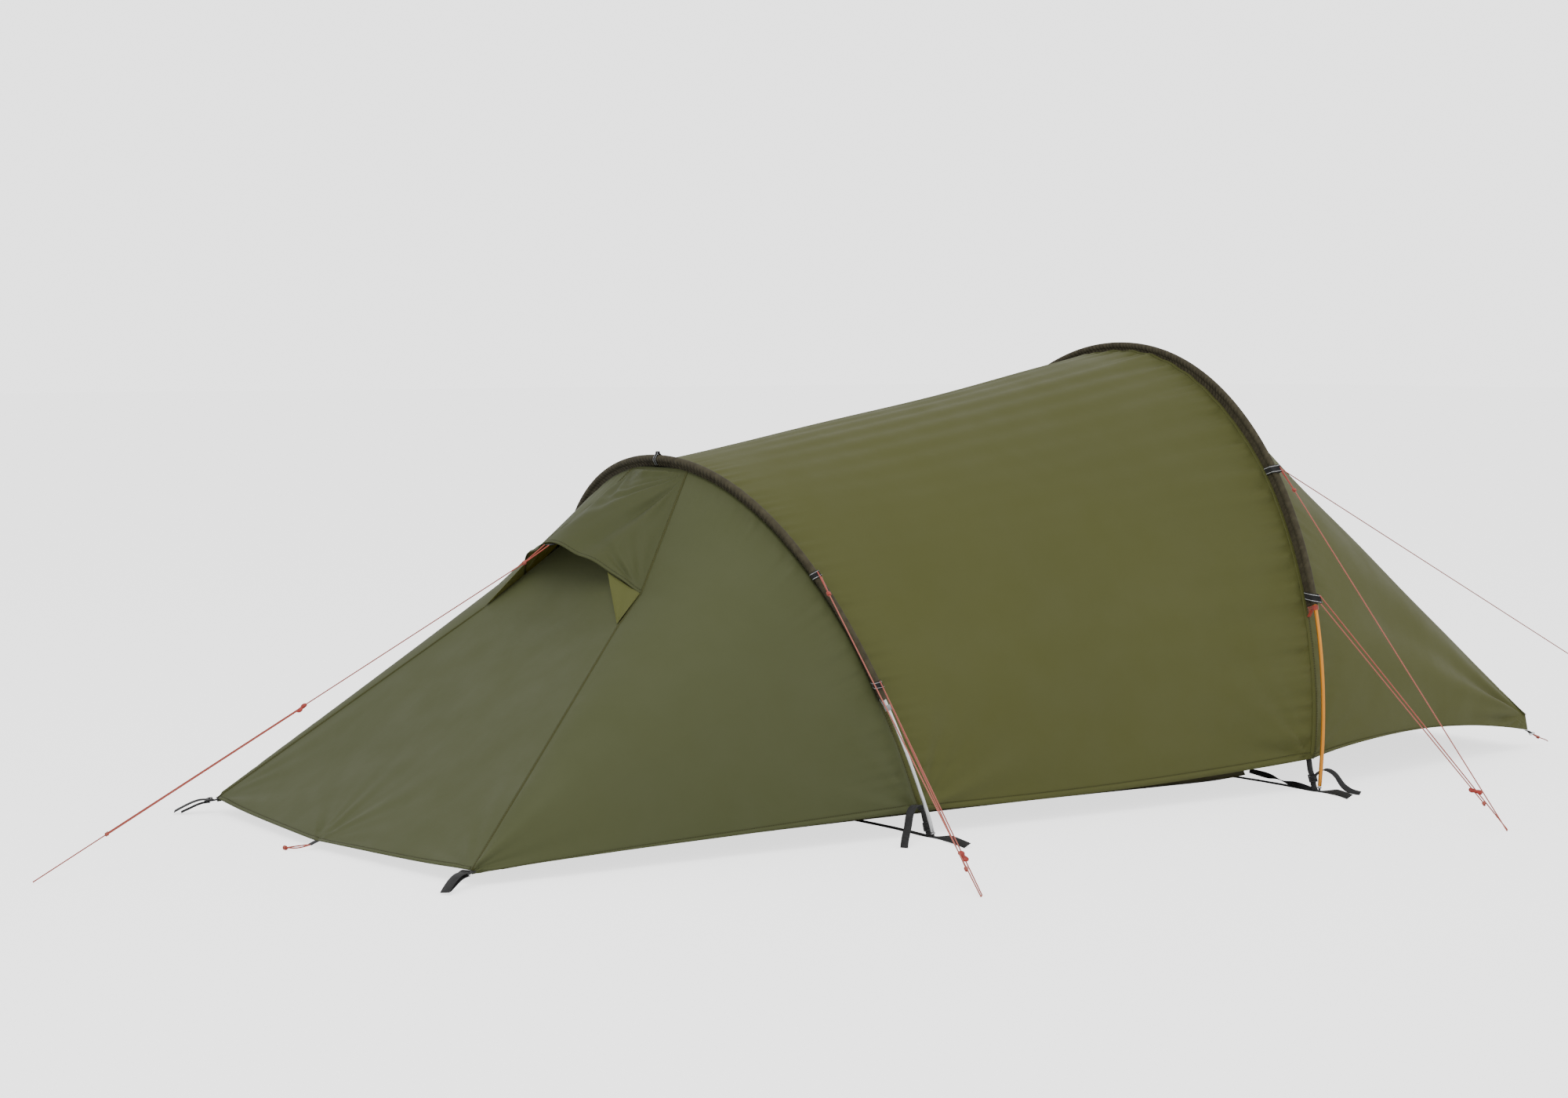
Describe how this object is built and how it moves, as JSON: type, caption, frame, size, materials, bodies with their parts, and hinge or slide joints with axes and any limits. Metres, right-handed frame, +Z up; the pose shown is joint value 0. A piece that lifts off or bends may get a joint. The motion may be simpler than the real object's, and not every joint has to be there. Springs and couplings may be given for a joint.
{
  "type": "tunnel tent",
  "caption": "Pitched tunnel tent with sleeved flexible hoops, a vented sloping foot end, zipped porch doors, an inner tent with a tub floor, guy lines with sliding runners, and ground webbing.",
  "frame": {"origin": "On the ground, on the tent's centre line, midway between the two hoops. The underside of the tub floor is at Z = 0.", "axes": "+Z up. +X runs along the tent from the low foot end to the tall door end. The near side is -Y."},
  "size_m": [4.5812, 2.8438, 1.0841],
  "materials": {
    "fly_fabric": null,
    "sleeve_fabric": null,
    "netting": null,
    "inner_fabric": null,
    "tub_fabric": null,
    "pole_silver": null,
    "pole_orange": null,
    "pole_tip": null,
    "shock_cord": null,
    "guy_cord": null,
    "runner": null,
    "webbing": null,
    "buckle": null
  },
  "bodies": {
    "tent": {"fly_body": "fly_fabric", "foot_side_near": "fly_fabric", "foot_side_far": "fly_fabric", "foot_front_panel": "fly_fabric", "vent_hood": "fly_fabric", "porch_side_near": "fly_fabric", "porch_side_far": "fly_fabric", "porch_front_panel": "fly_fabric", "vent_netting": "netting", "inner_tub_floor": "tub_fabric", "inner_canopy": "inner_fabric", "inner_front_wall": "inner_fabric", "low_pole_section_1": "pole_silver", "low_pole_section_2": "pole_silver", "low_pole_section_3": "pole_silver", "low_pole_section_4": "pole_silver", "low_pole_section_5": "pole_silver", "tall_pole_section_1": "pole_orange", "tall_pole_section_2": "pole_orange", "tall_pole_section_3": "pole_orange", "tall_pole_section_4": "pole_orange", "tall_pole_section_5": "pole_orange", "tall_pole_section_6": "pole_orange", "low_pole_tip_near": "pole_tip", "low_pole_tip_far": "pole_tip", "low_pole_shock_cord": "shock_cord", "low_pole_sleeve": "sleeve_fabric", "low_hoop_base_strap": "webbing", "low_guy_line_near": "guy_cord", "low_guy_line_far": "guy_cord", "tall_pole_tip_near": "pole_tip", "tall_pole_tip_far": "pole_tip", "tall_pole_shock_cord": "shock_cord", "tall_pole_sleeve": "sleeve_fabric", "tall_hoop_base_strap": "webbing", "tall_guy_line_near": "guy_cord", "tall_guy_line_far": "guy_cord", "foot_guy_line": "guy_cord", "forward_guy_line_near": "guy_cord", "forward_guy_line_far": "guy_cord", "foot_corner_loop_near": "webbing", "foot_corner_loop_far": "webbing", "porch_corner_loop_near": "webbing", "porch_corner_loop_far": "webbing"},
    "porch_zip_slider": {"porch_zip_slider": "buckle"},
    "inner_door": {"inner_door": "inner_fabric"},
    "inner_zip_slider": {"inner_zip_slider": "buckle"},
    "foot_guy_runner": {"foot_guy_runner": "runner"},
    "porch_door_near": {"porch_door_near": "fly_fabric"},
    "porch_door_far": {"porch_door_far": "fly_fabric"},
    "low_foot_buckle_near": {"low_foot_buckle_near": "buckle"},
    "low_foot_buckle_far": {"low_foot_buckle_far": "buckle"},
    "tall_foot_buckle_near": {"tall_foot_buckle_near": "buckle"},
    "tall_foot_buckle_far": {"tall_foot_buckle_far": "buckle"},
    "low_guy_runner_near": {"low_guy_runner_near": "runner"},
    "low_guy_runner_far": {"low_guy_runner_far": "runner"},
    "tall_guy_runner_near": {"tall_guy_runner_near": "runner"},
    "tall_guy_runner_far": {"tall_guy_runner_far": "runner"},
    "forward_guy_runner_near": {"forward_guy_runner_near": "runner"},
    "forward_guy_runner_far": {"forward_guy_runner_far": "runner"}
  },
  "joints": [
    {"name": "porch_door_near_fold", "type": "hinge", "parent": "tent", "child": "porch_door_near", "pos_m": [0.807, 0, 0.897], "axis": [0.5994, -0.4647, -0.6517], "range_deg": [0, 100]},
    {"name": "porch_door_far_fold", "type": "hinge", "parent": "tent", "child": "porch_door_far", "pos_m": [0.807, 0, 0.897], "axis": [-0.5994, -0.4647, 0.6517], "range_deg": [0, 100]},
    {"name": "porch_zip", "type": "slide", "parent": "porch_door_near", "child": "porch_zip_slider", "axis": [-0.6928, 0, 0.7211], "range_m": [0, 0.95]},
    {"name": "inner_door_fold", "type": "hinge", "parent": "tent", "child": "inner_door", "pos_m": [0.5305, 0.346, 0.4], "axis": [0, 0, -1], "range_deg": [0, 95]},
    {"name": "inner_zip", "type": "slide", "parent": "inner_door", "child": "inner_zip_slider", "axis": [0, 0, 1], "range_m": [0, 0.22]},
    {"name": "foot_guy_tension", "type": "slide", "parent": "tent", "child": "foot_guy_runner", "axis": [-0.8926, 0, -0.4509], "range_m": [0, 0.1]},
    {"name": "low_guy_tension_near", "type": "slide", "parent": "tent", "child": "low_guy_runner_near", "axis": [0.3471, 0.8197, 0.4557], "range_m": [0, 0.1]},
    {"name": "low_guy_tension_far", "type": "slide", "parent": "tent", "child": "low_guy_runner_far", "axis": [0.3471, -0.8197, 0.4557], "range_m": [0, 0.1]},
    {"name": "tall_guy_tension_near", "type": "slide", "parent": "tent", "child": "tall_guy_runner_near", "axis": [0.1664, 0.807, 0.5666], "range_m": [0, 0.1]},
    {"name": "tall_guy_tension_far", "type": "slide", "parent": "tent", "child": "tall_guy_runner_far", "axis": [0.1664, -0.807, 0.5666], "range_m": [0, 0.1]},
    {"name": "forward_guy_tension_near", "type": "slide", "parent": "tent", "child": "forward_guy_runner_near", "axis": [0.8953, -0.044, -0.4432], "range_m": [0, 0.1]},
    {"name": "forward_guy_tension_far", "type": "slide", "parent": "tent", "child": "forward_guy_runner_far", "axis": [0.8953, 0.044, -0.4432], "range_m": [0, 0.1]},
    {"name": "low_foot_buckle_near_slip", "type": "slide", "parent": "tent", "child": "low_foot_buckle_near", "axis": [0, 0.2253, 0.9743], "range_m": [0, 0.018]},
    {"name": "low_foot_buckle_far_slip", "type": "slide", "parent": "tent", "child": "low_foot_buckle_far", "axis": [0, -0.2253, 0.9743], "range_m": [0, 0.018]},
    {"name": "tall_foot_buckle_near_slip", "type": "slide", "parent": "tent", "child": "tall_foot_buckle_near", "axis": [0, 0.3361, 0.9418], "range_m": [0, 0.025]},
    {"name": "tall_foot_buckle_far_slip", "type": "slide", "parent": "tent", "child": "tall_foot_buckle_far", "axis": [0, -0.3361, 0.9418], "range_m": [0, 0.025]}
  ]
}
